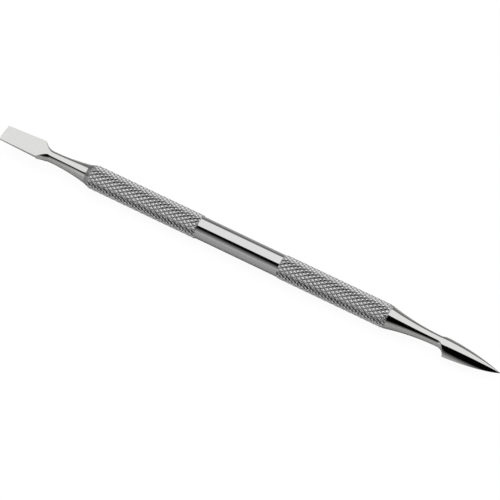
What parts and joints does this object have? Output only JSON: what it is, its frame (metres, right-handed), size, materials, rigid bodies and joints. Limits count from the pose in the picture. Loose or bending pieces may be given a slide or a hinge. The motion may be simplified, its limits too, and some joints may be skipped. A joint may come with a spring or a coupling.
{
  "type": "cuticle pusher",
  "caption": "Slim round double-ended steel cuticle pusher with knurled grips, a smooth centre band, a flat pushing blade and a pointed nail cleaner.",
  "frame": {"origin": "on the handle's axis, halfway between the blade's working end and the tip of the point", "axes": "+X along the tool from the blade to the point; +Z is the side that the blade's face looks to"},
  "size_m": [0.1314, 0.0058, 0.0058],
  "materials": {
    "handle_steel": "stainless steel, satin diamond knurl with a polished smooth centre band",
    "polished_steel": "mirror-polished stainless steel"
  },
  "bodies": {
    "root": {"handle": "handle_steel", "pusher_end": "polished_steel", "point_end": "polished_steel"}
  },
  "joints": []
}
